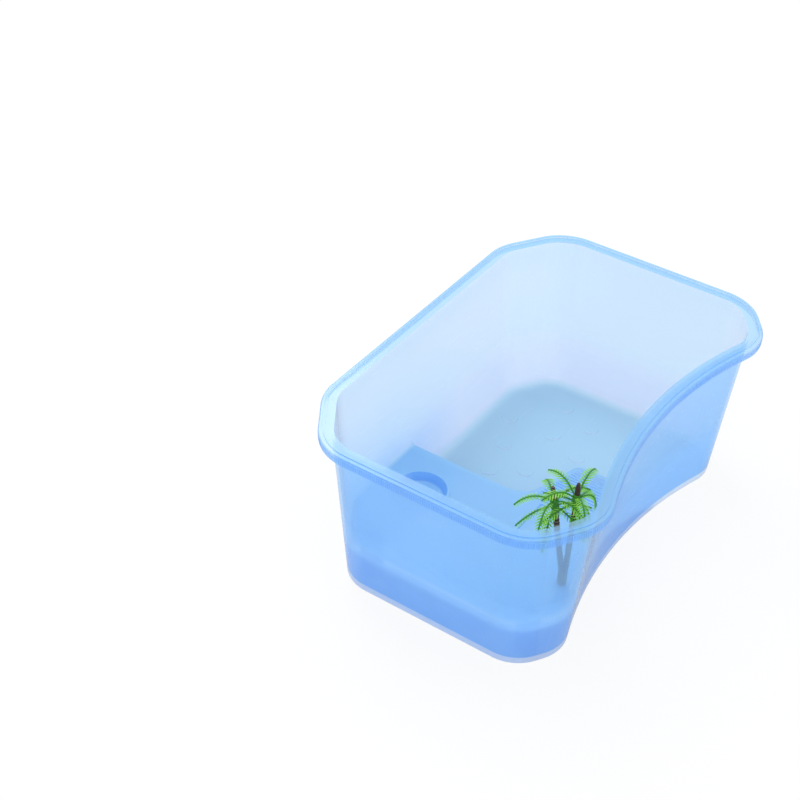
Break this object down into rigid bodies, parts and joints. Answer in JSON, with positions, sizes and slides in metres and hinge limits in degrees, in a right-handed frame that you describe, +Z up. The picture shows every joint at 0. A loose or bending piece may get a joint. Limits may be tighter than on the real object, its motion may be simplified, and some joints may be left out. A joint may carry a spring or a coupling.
{
  "type": "reptile vivarium box",
  "caption": "Open translucent tub for small turtles and other reptiles, with a basking platform, a ribbed ramp, a sunk food dish and a push-in plastic palm.",
  "frame": {"origin": "middle of the tub's base box on the table it stands on", "axes": "+Z up; +Y along the tub's long side, from the platform end to the open end; +X towards the long side that is drawn in at its middle"},
  "size_m": [0.2208, 0.33, 0.1344],
  "materials": {
    "tub_plastic": "clear glossy moulded plastic tinted light blue",
    "trunk_plastic": "dark brown moulded plastic, satin",
    "leaf_plastic": "soft bright green moulded plastic"
  },
  "bodies": {
    "tub": {"tub": "tub_plastic"},
    "palm": {"palm_trunk": "trunk_plastic", "left_lower_leaves": "leaf_plastic", "left_upper_leaves": "leaf_plastic", "right_lower_leaves": "leaf_plastic", "right_upper_leaves": "leaf_plastic"}
  },
  "joints": [
    {"name": "palm_lift", "type": "slide", "parent": "tub", "child": "palm", "axis": [0, 0, 1], "range_m": [0, 0.02]}
  ]
}
